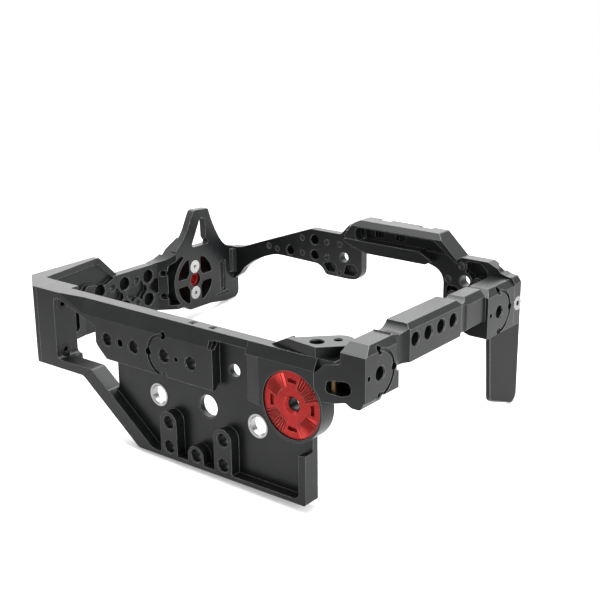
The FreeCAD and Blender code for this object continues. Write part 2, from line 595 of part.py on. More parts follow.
def side_plate():
    """Left wall: corner, tapered frame, honeycomb, horn with rosette lobe, and the rear arm."""
    corner = [
        (SEAM_X, 0), (SEAM_X - 2.7, 0), (LEFT_X, 13), (LEFT_X, FRAME_END_Y + 14),
        (FRAME_INNER_REAR_X, FRAME_END_Y + 14),
        (FRAME_INNER_REAR_X, FRAME_END_Y - 4), (FRAME_INNER_FRONT_X, HEAD_DEPTH + 0.5, 1.5),
        (SEAM_X, HEAD_DEPTH),
    ]
    wall = prism("plan", corner, SIDE_BOTTOM_Z, TOP_Z)
    ramp_run = TOP_Z - HONEYCOMB_TOP_Z
    ramp = [
        (FRAME_END_Y - 3, TOP_Z + 2), (FRAME_END_Y - 3, TOP_Z), (FRAME_END_Y, TOP_Z, 2),
        (FRAME_END_Y + ramp_run, HONEYCOMB_TOP_Z), (FRAME_END_Y + 40, HONEYCOMB_TOP_Z),
        (FRAME_END_Y + 40, TOP_Z + 2),
    ]
    wall = wall.cut(prism("side", ramp, LEFT_X - 1, SEAM_X))
    pocket = [
        (18, TOP_Z - 3.5, 3), (FRAME_END_Y - 1.5, TOP_Z - 3.5, 2),
        (FRAME_END_Y + ramp_run - 3.5, HONEYCOMB_TOP_Z - 1, 1),
        (61, 8, 1), (47, 10.5, 3), (39, 2, 3), (39, SIDE_BOTTOM_Z + 4, 3), (18, SIDE_BOTTOM_Z + 4, 3),
    ]
    skin = block((LEFT_X, SIDE_SKIN_X), (38, 108), (SIDE_BOTTOM_Z, HONEYCOMB_TOP_Z))
    web_plan = [
        (LEFT_X, 98), (SIDE_SKIN_X, 98), (SIDE_SKIN_X, 100, 4), (HORN_X, 109), (HORN_X, 118),
        (HORN_X - HORN_THICK, 118), (LOBE_BACK_X, 110.5), (LOBE_BACK_X, 107.3), (LEFT_X + 2, 107.3),
        (LEFT_X, 101),
    ]
    web_side = [
        (97, SIDE_BOTTOM_Z), (97, HONEYCOMB_TOP_Z), (103, 12.6, 12), (107, 15.0, 14), (111, 18.9, 16),
        (116, 24.6),
        (119, 24.6), (119, SIDE_BOTTOM_Z),
    ]
    web = prism("plan", web_plan, SIDE_BOTTOM_Z, TOP_Z + 2).common(prism("side", web_side, LEFT_X, HORN_X))
    stretch = (ARM_Y - LOBE_Y) / HORN_DRAWN
    top = [
        (13.1, 39.4, 1.5), (15.6, 32.2, 30), (18.6, 25.8, 30), (22.4, 19.4, 20), (25.5, 15.4, 12),
        (29.8, 12.3, 14),
    ]
    bottom = [(26.2, -22.6, 20), (13.2, -20.7, 30)]
    horn = [
        (LOBE_Y - 15.3, -13.2), (LOBE_Y - 15.8, 18.2), (LOBE_Y - 10.1, 23.4, 20), (LOBE_Y - 5.9, 28.4, 20),
        (LOBE_Y - 2.4, 35.2, 12), (LOBE_Y + 0.5, 40.3, 2.5),
    ]
    horn += [(LOBE_Y + run * stretch, z, radius * stretch) for run, z, radius in top]
    horn += [(ARM_BACK_Y, 10.2), (ARM_BACK_Y, -22.3, 4.5)]
    horn += [(LOBE_Y + run * stretch, z, radius * stretch) for run, z, radius in bottom]
    horn.append((LOBE_Y - 6.3, -20.6, 8))
    plate = prism("side", horn, HORN_X - HORN_THICK, HORN_X)
    lobe = rod("side", LOBE_Y, LOBE_Z, LOBE_R, LOBE_BACK_X, HORN_X)
    arm = [
        (HORN_X - HORN_THICK, 10.2), (-166.4, 11.7, 20), (-153.1, 16.6, 40), (-111.7, 31.4, 1),
        (-89.8, 31.4, 2),
        (-83.5, 38.2, 2), (-77.0, 41.0, 1), (ARM_END_X, 41.0, 1), (ARM_END_X, 6.0, 7), (-84.0, 5.3, 3),
        (-100.5, 5.4, 3),
        (-104.5, 11.0, 8), (-138.6, 11.8, 25), (-148.8, 8.3, 15), (-156.9, 4.2, 20), (-164.0, -0.8, 8),
        (-168.4, -6.4, 5), (HORN_X, -10.2), (HORN_X - HORN_THICK, -10.2),
    ]
    arm_body = prism("front", arm, ARM_Y, ARM_BACK_Y)
    inside = [
        (HORN_X - 1, ARM_Y - BEND_R), (HORN_X, ARM_Y - BEND_R),
        (HORN_X + BEND_R * 0.3, ARM_Y - BEND_R * 0.3),
        (HORN_X + BEND_R, ARM_Y), (HORN_X + BEND_R, ARM_Y + 1), (HORN_X - 1, ARM_Y + 1),
    ]
    fillet = prism("plan", inside, -5.0, 9.8)
    body = fuse_all([wall, skin, web, plate, lobe, arm_body, fillet])
    body = body.cut(rod("side", LOBE_Y, LOBE_Z, ROSETTE_R + 0.8, LEFT_X - 1, LOBE_BACK_X))

    outer_x = HORN_X - HORN_THICK
    outside = [
        (outer_x - 1, ARM_BACK_Y - BEND_CHAMFER - 1), (outer_x + BEND_CHAMFER + 1, ARM_BACK_Y + 1),
        (outer_x - 1, ARM_BACK_Y + 1),
    ]
    cutters = [prism("side", pocket, SIDE_POCKET_X, SEAM_X - 5), prism("plan", outside, -26, 16)]
    big, small = side_cells()
    for first in range(2):
        y = CELL_FIRST_Y + first * CELL_PITCH
        middle = [(y + 1.5, CELL_ROWS_Z[1] + 1.2), (y + CELL_PITCH - 1.5, CELL_ROWS_Z[1] + 1.2),
                  (y + CELL_PITCH - 1.5, CELL_ROWS_Z[0] - 1.2), (y + 1.5, CELL_ROWS_Z[0] - 1.2)]
        cutters.append(cell_cutter(middle, big, small))
    half = CELL_FIRST_Y + 2 * CELL_PITCH
    cutters.append(cell_cutter([(half + 1, -6.5), (half + 9.0, -6.5), (half + 9.0, 3), (half + 1, 3)], big,
                               small))
    keep_lobe = rod("side", LOBE_Y, LOBE_Z, LOBE_R, LEFT_X - 2, HORN_X + 2)
    for side_pocket, floor_x in (
        ([(105.2, -14.8, 1), (105.2, 9.4, 1), (107.2, 11.0), (107.2, -14.8)], SIDE_POCKET_X),
        ([(107.1, -14.8), (107.1, 11.0), (110.0, 13.4, 2), (115.3, 15.2, 2), (115.5, -14.8)],
         LOBE_BACK_X + 2.5),
    ):
        cutters.append(prism("side", side_pocket, floor_x, HORN_X + 1).cut(keep_lobe))
    for y, z in big:
        cutters.append(hole("side", y, z, BIG_CELL_R - 0.3, SIDE_SKIN_X, LEFT_X - 1, 0.3))
    for y, z in small:
        cutters.append(rod("side", y, z, SMALL_CELL_R, LEFT_X - 1, HORN_X + 1))
    cutters += lobe_windows()
    triangle = [(LOBE_Y - 2.8, 17.8, 1.5)]
    for run, z, radius in ((6.5, 36.0, 2.0), (10.0, 33.0, 1.0), (10.4, 21.5, 3), (13.4, 17.8, 1.0)):
        triangle.append((LOBE_Y + run * stretch, z, radius * stretch))
    cutters.append(prism("side", triangle, HORN_X - HORN_THICK - 1, HORN_X + 1))
    through_x = HORN_X - HORN_THICK - 1
    for run, half, low, high, low_r, high_r, floor_x in (
        (24.75, 1.45, -14.6, 3.2, 1, 1, through_x),
        (24.9, 2.7, -15.8, 4.2, 1, 1.5, HORN_X - 0.8),
        (24.4, 5.6, -18.2, -16.4, 0.8, 0.8, HORN_X - 0.8),
    ):
        middle_y = LOBE_Y + run * stretch
        slot = [
            (middle_y - half, low, low_r), (middle_y - half, high, high_r), (middle_y + half, high, high_r),
            (middle_y + half, low, low_r),
        ]
        cutters.append(prism("side", slot, floor_x, HORN_X + 1))
    for side in (-1, 1):
        cutters += countersink("side", LOBE_Y, LOBE_Z + side * ROSETTE_SCREW_PITCH_R, HORN_X, -1,
                               LOBE_THICK)
    cutters.append(rod("side", LOBE_Y, LOBE_Z, SPIGOT_R + SEAT_GAP, LEFT_X, HORN_X + 1))
    for x, z, radius in arm_holes():
        cutters.append(hole("front", x, z, radius, ARM_Y, ARM_BACK_Y + 1, 0.35))
    for outline_points in (
        [(-99.5, 7.6, 1), (-94.0, 7.6, 1), (-92.6, 12.6, 2), (-97.0, 14.0, 2), (-102.5, 12.0, 1)],
        [(-88.0, 7.6, 1), (-80.0, 7.6, 2), (-77.6, 11.0, 2), (-80.0, 14.6, 2), (-86.0, 13.6, 2)],
    ):
        cutters.append(prism("front", outline_points, ARM_Y - 1, ARM_BACK_Y - 2))
    for y, z in JOINTS["front_left"]["screws"]:
        cutters += cap_screw_hole("side", y, z, WINDOW_LEFT_X, -1, FRONT_LEFT_LENGTH)
    cutters += dowel_holes("side", JOINTS["front_left"]["dowels"], SEAM_X)
    for x, z in JOINTS["rear_left"]["screws"]:
        cutters += cap_screw_hole("front", x, z, ARM_BACK_Y, -1, REAR_LEFT_LENGTH)
    cutters += dowel_holes("front", JOINTS["rear_left"]["dowels"], ARM_Y)
    return cut_all(body, cutters)


def cell_cutter(region, big, small):
    """Blind pocket between the holes: the region less a rim round every hole."""
    low = SIDE_POCKET_X - 1
    high = SIDE_SKIN_X + 2
    rims = [rod("side", y, z, BIG_CELL_R + CELL_RIM, low, high) for y, z in big]
    rims += [rod("side", y, z, SMALL_CELL_R + CELL_RIM, low, high) for y, z in small]
    return cut_all(prism("side", region, SIDE_POCKET_X, SIDE_SKIN_X + 1), rims)


def lobe_windows():
    """Four windows round the rosette's hub, left between a cross of spokes and the lobe's rim."""
    inner = 6.9
    outer = 15.2
    disc = rod("side", LOBE_Y, LOBE_Z, outer, HORN_X - LOBE_THICK - 1, HORN_X + 1)
    disc = disc.cut(rod("side", LOBE_Y, LOBE_Z, inner, HORN_X - LOBE_THICK - 2, HORN_X + 2))
    upright = block((HORN_X - 20, HORN_X + 5), (LOBE_Y - 4.8, LOBE_Y + 4.8), (LOBE_Z - 20, LOBE_Z + 20))
    level = block((HORN_X - 20, HORN_X + 5), (LOBE_Y - 20, LOBE_Y + 20), (LOBE_Z - 2.2, LOBE_Z + 2.2))
    windows = disc.cut(Part.makeCompound([upright, level]))
    along = [edge for edge in windows.Edges if abs(edge.Vertexes[0].X - edge.Vertexes[-1].X) > LOBE_THICK]
    return [windows.makeFillet(WINDOW_FILLET, along)]


def arm_holes():
    """Hole lattice of the rear arm, as (X, Z, radius)."""
    high = 25.1
    low = high - ARM_PITCH
    first = -118.2
    rows = []
    for k, radius in enumerate((ARM_SMALL_R, ARM_BIG_R, ARM_SMALL_R, ARM_SMALL_R)):
        rows.append((first + k * ARM_PITCH, high, radius))
    for k, radius in ((-1, ARM_BIG_R), (0, ARM_SMALL_R), (1, ARM_BIG_R), (2, ARM_SMALL_R)):
        rows.append((first + k * ARM_PITCH, low, radius))
    rows.append((-87.6, 17.8, ARM_BIG_R))
    rows.append((-90.8, 8.0, ARM_SMALL_R))
    rows.append((first - 2.1 * ARM_PITCH, low - 0.6, ARM_SMALL_R))
    rows.append((first - 2.8 * ARM_PITCH, low + 0.2, ARM_SMALL_R))
    return rows


def right_bar():
    """Right beam: slotted corner block, two mount blocks and a raised middle with four threaded holes."""
    inner_x = RIGHT_X - BAR_WIDTH
    low, high = BLOCK_Z
    end_z = BLOCK_Z[1] + BLOCK_CHAMFER
    corner = [
        (CORNER_X, 6.0), (CORNER_X, 18.2), (18.8, 23.6), (26.4, 25.2, 2), (29.4, 28.0, 1.5),
        (34.3, 31.0, 2),
        (37.7, 30.6, 1), (RIGHT_X, 30.0), (RIGHT_X, 12.0, 1.5), (37.5, 7.0, 2), (32.8, 7.0, 2),
        (29.8, 8.6, 1.5),
        (24.0, 7.0, 3), (17.0, 6.0),
    ]
    body = prism("front", corner, 0, 14.0)
    section = [
        (inner_x, low + 1), (inner_x, end_z), (RIGHT_X - BLOCK_CHAMFER, end_z), (RIGHT_X, high),
        (RIGHT_X, low),
        (inner_x + 3, low),
    ]
    first = prism("front", section, 0, BLOCK_ONE_END_Y)
    beam = [
        (inner_x, BAR_BOTTOM_Z, 1), (inner_x, MIDDLE_TOP_Z - 1.5, 1),
        (RIGHT_X - 4.5, MIDDLE_TOP_Z - 1.5, 1),
        (RIGHT_X - 1.6, MIDDLE_TOP_Z - 4.5), (RIGHT_X - 1.6, BAR_BOTTOM_Z, 1),
    ]
    link = prism("front", beam, BLOCK_ONE_END_Y - 1, BLOCK_TWO_Y[0] + 1)
    raised = [
        (inner_x, BAR_BOTTOM_Z + 2), (inner_x, MIDDLE_TOP_Z), (RIGHT_X - 2.4, MIDDLE_TOP_Z),
        (RIGHT_X, MIDDLE_TOP_Z - 2.4), (RIGHT_X, BAR_BOTTOM_Z),
        (inner_x + 2, BAR_BOTTOM_Z),
    ]
    middle = prism("front", raised, MIDDLE_Y[0] - 4, MIDDLE_Y[1] + 4)
    second = prism("front", section, BLOCK_TWO_Y[0] - 1, BLOCK_TWO_Y[1])
    body = fuse_all([body, first, link, middle, second])

    cutters = [
        prism("side", [(-1, 30.4), (0, 30.8), (6.8, end_z), (6.8, end_z + 4), (-1, end_z + 4)], inner_x - 1,
              RIGHT_X + 1),
        prism("side", [(BLOCK_TWO_Y[0] - 1.5, 31.0), (BLOCK_TWO_Y[0] + 3.6, end_z),
                       (BLOCK_TWO_Y[0] + 3.6, end_z + 4),
                       (BLOCK_TWO_Y[0] - 1.5, end_z + 4)], inner_x - 1, RIGHT_X + 1),
    ]
    scoop_r = 7.0
    for y in (MIDDLE_Y[0] - 3.6, MIDDLE_Y[1] + 5.5):
        cutters.append(rod("side", y, MIDDLE_TOP_Z + scoop_r - 3.4, scoop_r, inner_x - 1, RIGHT_X + 1))
        cutters.append(rod("plan", RIGHT_X + scoop_r - 2.2, y, scoop_r, BAR_BOTTOM_Z - 1, MIDDLE_TOP_Z + 1))
    seam = BLOCK_TWO_Y[0] - 1
    step = [
        (seam - 13, BAR_BOTTOM_Z - 12), (seam - 13, BAR_BOTTOM_Z), (seam - 12, BAR_BOTTOM_Z - 1, 8),
        (seam, low),
        (seam, BAR_BOTTOM_Z - 12),
    ]
    cutters.append(prism("side", step, inner_x - 1, RIGHT_X + 1))
    for y in MIDDLE_HOLES_Y:
        cutters.append(hole("side", y, MIDDLE_HOLES_Z, QUARTER_R, RIGHT_X, inner_x - 1))
    for y, z in MOUNTS_RIGHT:
        cutters.append(hole("side", y, z, QUARTER_R, RIGHT_X, inner_x - 1))
        cutters += locating_groove("side", y, z, RIGHT_X, -1, 0)
    slot = [(18.8, 11.2, 1.6), (19.8, 16.6, 2.2), (32.6, 18.6, 2.7), (32.6, 12.9, 2.7), (27.5, 10.9, 5)]
    cutters.append(prism("front", slot, -1, 9.5))
    cutters.append(rod("plan", PIN_XY[0], PIN_XY[1], PIN_R + SEAT_GAP, PIN_Z[0], PIN_Z[1] + 0.2))
    cutters.append(rod("front", 0, 0, BOSS_R + SEAT_GAP, -1, 15))
    cutters.append(block((CORNER_X - 1, 22), (PLATE_DEPTH + 2, 15), (low - 1, TOP_Z + 8)))
    cutters.append(block((CORNER_X - 1, 22), (7, 15), (TOP_Z, TOP_Z + 8)))
    cutters += dowel_holes("side", JOINTS["front_right"]["dowels"], CORNER_X)
    for x, z in JOINTS["rear_right"]["screws"]:
        cutters += cap_screw_hole("front", x, z, REAR_BACK_Y, -1, REAR_RIGHT_LENGTH)
    cutters += dowel_holes("front", JOINTS["rear_right"]["dowels"], BLOCK_TWO_Y[1])
    return cut_all(body, cutters)


def rear_plate():
    """Rear member: shoulder to the arm, handle with its channel, hole lattice, corner and leg."""
    face = [
        (-56.0, 38.0), (HANDLE_X[0], 41.0), (-20.0, 41.0), (9.0, REAR_TOP_Z), (24.6, REAR_TOP_Z, 1.5),
        (30.2, 38.2, 1), (31.6, 36.5, 1), (34.6, 35.3, 1), (38.0, 34.9, 1.5), (RIGHT_X, 32.0),
        (RIGHT_X, LEG_TOP_Z),
        (-1.0, LEG_TOP_Z, 3), (-1.0, 31.5, 8), (-13.0, 35.2, 3), (-56.0, 35.2),
    ]
    body = prism("front", face, BLOCK_TWO_Y[1], REAR_BACK_Y)
    high = HANDLE_TOP_Z
    handle = [
        (HANDLE_X[0] - 6.0, 35.2), (HANDLE_X[0] - 6.0, 43.4), (-56.9, 47.3), (-54.4, 50.7, 1),
        (-51.6, high, 1), (HANDLE_X[1], high, 2),
        (9.5, REAR_TOP_Z), (9.5, 38.5), (-13, 35.2),
    ]
    grip = prism("front", handle, HANDLE_FRONT_Y, REAR_BACK_Y)
    band = [(HANDLE_FRONT_Y - 1, high - HANDLE_BAND), (HANDLE_FRONT_Y, high - HANDLE_BAND),
            (HANDLE_FRONT_Y + HANDLE_BAND, high + 0.01), (HANDLE_FRONT_Y - 1, high + 1)]
    grip = grip.cut(prism("side", band, HANDLE_X[0] - 8, 12))
    channel = [
        (HANDLE_X[0] + 1.0, CHANNEL_Z[0], 2.8), (HANDLE_X[0] + 1.0, CHANNEL_Z[1], 2.8),
        (HANDLE_X[1] - 1.5, CHANNEL_Z[1], 3),
        (10.5, 38.0), (10.5, 33), (-2, 33), (-13, CHANNEL_Z[0] - 1.0),
        (HANDLE_X[0] + 4, CHANNEL_Z[0] - 1.0),
    ]
    seat = HANDLE_FRONT_Y + CHANNEL_DEPTH
    grip = grip.cut(prism("front", channel, HANDLE_FRONT_Y - 1, seat))
    strip_room = [
        (HANDLE_X[0] - 16, 34.0), (HANDLE_X[0] - 16, STRIP_Z[1] - 0.2), (-12.8, STRIP_Z[1] - 0.2),
        (-3.8, 37.2),
        (-3.8, 34.0),
    ]
    grip = grip.cut(prism("front", strip_room, HANDLE_FRONT_Y - 1, HANDLE_FRONT_Y + STRIP_THICK))
    shoulder_plan = [
        (-84.0, ARM_Y), (-60.0, REAR_BACK_Y + 1, 4), (-60.0, BLOCK_TWO_Y[1]), (-50.5, BLOCK_TWO_Y[1]),
        (-50.5, REAR_BACK_Y + 2, 4), (ARM_END_X, ARM_Y),
    ]
    rise = [
        (BLOCK_TWO_Y[1], 50.5), (REAR_BACK_Y, 50.5), (ARM_Y - 6, 42.5, 8), (ARM_Y, 41.0), (ARM_Y, 27.0),
        (ARM_Y - 8, 27.5, 6), (REAR_BACK_Y + 2, 35.2, 6), (BLOCK_TWO_Y[1], 35.2),
    ]
    left_slope = [(-90, 26), (-90, 31.4), (-83.5, 38.2), (-60, 44.0), (-56.9, 47.3), (-54.4, 50.7),
                  (-40, 50.7), (-40, 26)]
    shoulder = prism("plan", shoulder_plan, 26.0, 51.0)
    shoulder = shoulder.common(prism("side", rise, -86, -50)).common(prism("front", left_slope, 120, ARM_Y))
    leg = prism("side", leg_outline(0), RIGHT_X - LEG_THICK, RIGHT_X)
    body = fuse_all([body, grip, shoulder, leg])

    cutters = []
    bank = [(12.0, 33.0, 2), (12.2, 39.4, 1.5), (20.6, 39.4, 3), (24.6, 35.6, 2), (24.6, 24.0, 2),
            (21.0, 24.0, 1)]
    keep = [rod("front", x, z, r + 1.5, 120, 140) for x, z, r in rear_holes()]
    cutters.append(cut_all(prism("front", bank, BLOCK_TWO_Y[1] - 1, REAR_BACK_Y - 2.2), keep))
    lower = [(0.8, 14.0, 2), (0.8, 25.0, 2), (8.0, 25.0, 2), (8.0, 14.0, 2)]
    cutters.append(cut_all(prism("front", lower, BLOCK_TWO_Y[1] - 1, REAR_BACK_Y - 2.2), keep))
    for x, z, radius in rear_holes():
        cutters.append(hole("front", x, z, radius, BLOCK_TWO_Y[1], REAR_BACK_Y + 1, 0.35))
    for x in (-40.5, -15.0):
        notch = [(x - 4, high + 1), (x - 4, high, 0.5), (x - 2.5, high - 1.2, 0.5),
                 (x + 2.5, high - 1.2, 0.5),
                 (x + 4, high, 0.5), (x + 4, high + 1)]
        cutters.append(prism("front", notch, REAR_BACK_Y - 2.6, REAR_BACK_Y + 1))
    cutters.append(prism("front", [(27.2, 42.0), (27.2, 38.4, 0.5), (31.6, 35.4, 0.5), (31.6, 42.0)],
                         REAR_BACK_Y - 2.6, REAR_BACK_Y + 1))
    for x in (-41.6, -28.3):
        relief = [(x - 3, 43.0, 1), (x - 3, 48.0, 1), (x + 3, 48.0, 1), (x + 3, 43.0, 1)]
        cutters.append(prism("front", relief, seat - 1, seat + 2.6))
    for x, z in JOINTS["rear_right"]["screws"]:
        cutters += cap_screw_hole("front", x, z, REAR_BACK_Y, -1, REAR_RIGHT_LENGTH)
    cutters += dowel_holes("front", JOINTS["rear_right"]["dowels"], BLOCK_TWO_Y[1])
    for x, z in JOINTS["rear_left"]["screws"]:
        cutters += cap_screw_hole("front", x, z, ARM_BACK_Y, -1, REAR_LEFT_LENGTH)
    cutters += dowel_holes("front", JOINTS["rear_left"]["dowels"], ARM_Y)
    cutters += cap_screw_hole("side", END_SCREW[0], END_SCREW[1], RIGHT_X, -1, END_SCREW_LENGTH)
    cutters.append(prism("side", leg_outline(PAD_EDGE), RIGHT_X - PAD_THICK, RIGHT_X + 1))
    for x in STRIP_SCREWS_X:
        cutters += countersink("front", x, STRIP_SCREW_Z, REAR_BACK_Y, -1,
                               REAR_BACK_Y - HANDLE_FRONT_Y - STRIP_THICK)
    return cut_all(body, cutters)


def rear_holes():
    """Hole lattice right of the handle, as (X, Z, radius)."""
    return [
        (9.6, 36.2, 1.5), (11.5, 28.5, 2.9), (18.9, 28.4, 1.5), (1.9, 28.1, 1.5), (4.5, 19.5, 1.5),
        (11.5, 19.3, 1.5),
    ]


def leg_outline(inset):
    """Leg's edge in (Y, Z), moved inward by inset."""
    return [
        (LEG_TOP_Y + inset, LEG_TOP_Z), (LEG_END_Y + inset, LEG_FRONT_Z + inset, 4.0),
        (REAR_BACK_Y - inset, LEG_BOTTOM_Z + inset, 4.5), (REAR_BACK_Y - inset, LEG_TOP_Z),
    ]


def leg_pad():
    return prism("side", leg_outline(PAD_EDGE + SEAT_GAP), RIGHT_X - PAD_THICK, RIGHT_X)


def handle_strip():
    """Low strip seated in front of the handle's lower edge, with oblique ends."""
    high = STRIP_Z[1] - 0.4
    corners = [
        (-61.5, 40.0, 0.5), (-60.0, high, 0.5), (-13.0, high), (STRIP_X[1], 37.3, 0.8),
        (-9.0, STRIP_Z[0], 0.8),
        (STRIP_X[0] + 2, STRIP_Z[0], 4),
    ]
    body = prism("front", corners, HANDLE_FRONT_Y, HANDLE_FRONT_Y + STRIP_THICK)
    back = HANDLE_FRONT_Y + STRIP_THICK
    return cut_all(body, [rod("front", x, STRIP_SCREW_Z, ROSETTE_SCREW_R + SEAT_GAP,
                              STRIP_SCREW_END_Y - 0.2, back + 1)
                          for x in STRIP_SCREWS_X])


def handle_strip_screws():
    length = REAR_BACK_Y - STRIP_SCREW_END_Y
    return Part.makeCompound([countersunk_screw("front", x, STRIP_SCREW_Z, REAR_BACK_Y, -1, length)
                              for x in STRIP_SCREWS_X])


def bush(x, z):
    """Flanged steel bush pressed in from the front."""
    start = POCKET_DEPTH
    flange = rod("front", x, z, BUSH_R, start - 0.3, start + BUSH_FLANGE)
    body = flange.fuse(rod("front", x, z, BUSH_BODY_R, start, PLATE_DEPTH))
    return body.cut(hole("front", x, z, BUSH_BORE_R, start - 0.3, PLATE_DEPTH + 1, 0.5)).removeSplitter()


def side_rosette():
    return turn_to_side(rosette(LOBE_THICK - 2.0), LOBE_Y, LOBE_Z, LEFT_X)


def rosette_screws(plane, u, v, face, length):
    return Part.makeCompound([
        countersunk_screw(plane, u, v + side * ROSETTE_SCREW_PITCH_R, face, -1, length) for side in (-1,
            1)])


def joint_screws(name, face, length):
    joint = JOINTS[name]
    return Part.makeCompound([cap_screw(joint["plane"], u, v, face, -1, length) for u,
                              v in joint["screws"]])


def set_screws():
    top = TOP_Z - 0.3
    screws = []
    for x, y in SET_SCREWS:
        body = rod("plan", x, y, SET_SCREW_R, TOP_Z - SET_SCREW_DEPTH, top)
        screws.append(body.cut(hexagon("plan", x, y, 1.0, top - 2.0, top + 1)))
    return Part.makeCompound(screws)


def strap_pin():
    return rod("plan", PIN_XY[0], PIN_XY[1], PIN_R, PIN_Z[0], PIN_Z[1])


def build():
    spigot = PLATE_DEPTH - ROSETTE_THICK - SPIGOT_SHORT
    screw_run = PLATE_DEPTH - ROSETTE_THICK + ROSETTE_SCREW_DEPTH
    lobe_run = LOBE_THICK + ROSETTE_SCREW_DEPTH
    return {
        "front_plate": front_plate(),
        "side_plate": side_plate(),
        "right_bar": right_bar(),
        "rear_plate": rear_plate(),
        "accessory_tab": accessory_tab(),
        "tab_pins": tab_pins(),
        "handle_strip": handle_strip(),
        "handle_strip_screws": handle_strip_screws(),
        "leg_pad": leg_pad(),
        "front_rosette": rosette(spigot),
        "front_rosette_screws": rosette_screws("front", 0, 0, PLATE_DEPTH, screw_run),
        "side_rosette": side_rosette(),
        "side_rosette_screws": rosette_screws("side", LOBE_Y, LOBE_Z, HORN_X, lobe_run),
        "bush_left": bush(*HOLE_LEFT),
        "bush_right": bush(*HOLE_RIGHT),
        "strap_pin": strap_pin(),
        "beam_set_screws": set_screws(),
        "front_left_screws": joint_screws("front_left", WINDOW_LEFT_X, FRONT_LEFT_LENGTH),
        "front_left_dowels": dowels("side", JOINTS["front_left"]["dowels"], SEAM_X),
        "front_right_dowels": dowels("side", JOINTS["front_right"]["dowels"], CORNER_X),
        "rear_right_screws": joint_screws("rear_right", REAR_BACK_Y, REAR_RIGHT_LENGTH),
        "rear_right_dowels": dowels("front", JOINTS["rear_right"]["dowels"], BLOCK_TWO_Y[1]),
        "rear_left_screws": joint_screws("rear_left", ARM_BACK_Y, REAR_LEFT_LENGTH),
        "rear_left_dowels": dowels("front", JOINTS["rear_left"]["dowels"], ARM_Y),
        "end_screw": cap_screw("side", END_SCREW[0], END_SCREW[1], RIGHT_X, -1, END_SCREW_LENGTH),
    }


def main():
    os.makedirs("parts", exist_ok=True)
    for name, shape in build().items():
        print(name, "solids", len(shape.Solids), "valid", shape.isValid(), "volume", round(shape.Volume, 1))
        shape.exportStep(os.path.join("parts", name + ".step"))


main()
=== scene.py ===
import bpy
import json
import math
from mathutils import Matrix, Vector


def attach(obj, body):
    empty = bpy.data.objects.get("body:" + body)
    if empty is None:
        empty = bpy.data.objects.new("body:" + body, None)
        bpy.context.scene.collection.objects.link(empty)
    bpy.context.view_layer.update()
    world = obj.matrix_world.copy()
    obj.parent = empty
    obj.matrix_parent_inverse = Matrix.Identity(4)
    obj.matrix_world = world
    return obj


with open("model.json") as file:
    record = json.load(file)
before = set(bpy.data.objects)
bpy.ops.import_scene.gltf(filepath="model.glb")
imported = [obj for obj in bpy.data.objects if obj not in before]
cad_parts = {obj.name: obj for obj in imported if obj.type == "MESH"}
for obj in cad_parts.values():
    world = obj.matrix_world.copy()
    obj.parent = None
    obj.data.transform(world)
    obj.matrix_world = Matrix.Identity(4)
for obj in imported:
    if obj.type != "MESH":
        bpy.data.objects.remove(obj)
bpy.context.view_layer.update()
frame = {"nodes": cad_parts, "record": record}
nodes = frame["nodes"]

MM = 0.001


def srgb(code):
    """Linear RGBA from an sRGB hex code such as 1a1a1c."""
    values = [int(code[i:i + 2], 16) / 255 for i in (0, 2, 4)]
    return tuple(v / 12.92 if v <= 0.04045 else ((v + 0.055) / 1.055) ** 2.4 for v in values) + (1.0,)


def add(tree, kind, settings=None, links=None):
    """Shader node with its sockets, attributes or ramp stops set, and inputs linked to (node, output) pairs.

    A socket is named, or numbered where a node has several of one name."""
    node = tree.nodes.new(kind)
    for key, value in (settings or {}).items():
        if key == "stops":
            for element, (position, colour) in zip(node.color_ramp.elements, value):
                element.position = position
                element.color = colour
        elif isinstance(key, int) or key in node.inputs:
            node.inputs[key].default_value = value
        else:
            setattr(node, key, value)
    for key, (source, output) in (links or {}).items():
        tree.links.new(source.outputs[output], node.inputs[key])
    return node


def empty_tree(owner):
    """Node tree of a material or a world, with nothing in it yet."""
    owner.use_nodes = True
    owner.node_tree.nodes.clear()
    return owner.node_tree


def background_rays(tree):
    """Value that is 1 for rays that show the background: the camera's, and those by way of metal or glass."""
    path = add(tree, "ShaderNodeLightPath")
    straight = add(tree, "ShaderNodeMath", {"operation": "MAXIMUM"},
                   {0: (path, "Is Camera Ray"), 1: (path, "Is Glossy Ray")})
    return add(tree, "ShaderNodeMath", {"operation": "MAXIMUM"},
               {0: (straight, "Value"), 1: (path, "Is Transmission Ray")})


# Finishes. Colour drifts over patches as wide as a fingertip. The grain of a blasted, turned or moulded face
# is too fine to show, so each finish draws it at 0.3 to 0.5 mm, about as wide as a pixel of the render.
PATCH_MM = 18.0
GRAIN_STRENGTH = 0.35
# The part of the noise's range that the colours and the roughness are spread over
NOISE_SPAN = (0.3, 0.7)
# Specular level of every finish, under the usual 0.5 so that dark faces stay deep before a white background
SHEEN = 0.33
# An edge shows where the rounded normal leaves the face's own: their product falls from high to low
EDGE_MATCH = (0.90, 0.998)
# Share of the edge colour mixed in as a painted highlight where the edge is sharpest
EDGE_HIGHLIGHT_SHARE = 0.75
EDGE_SAMPLES = 4
# Painted shade on the wall of a bore
SHADED_BORE = "0a0808"


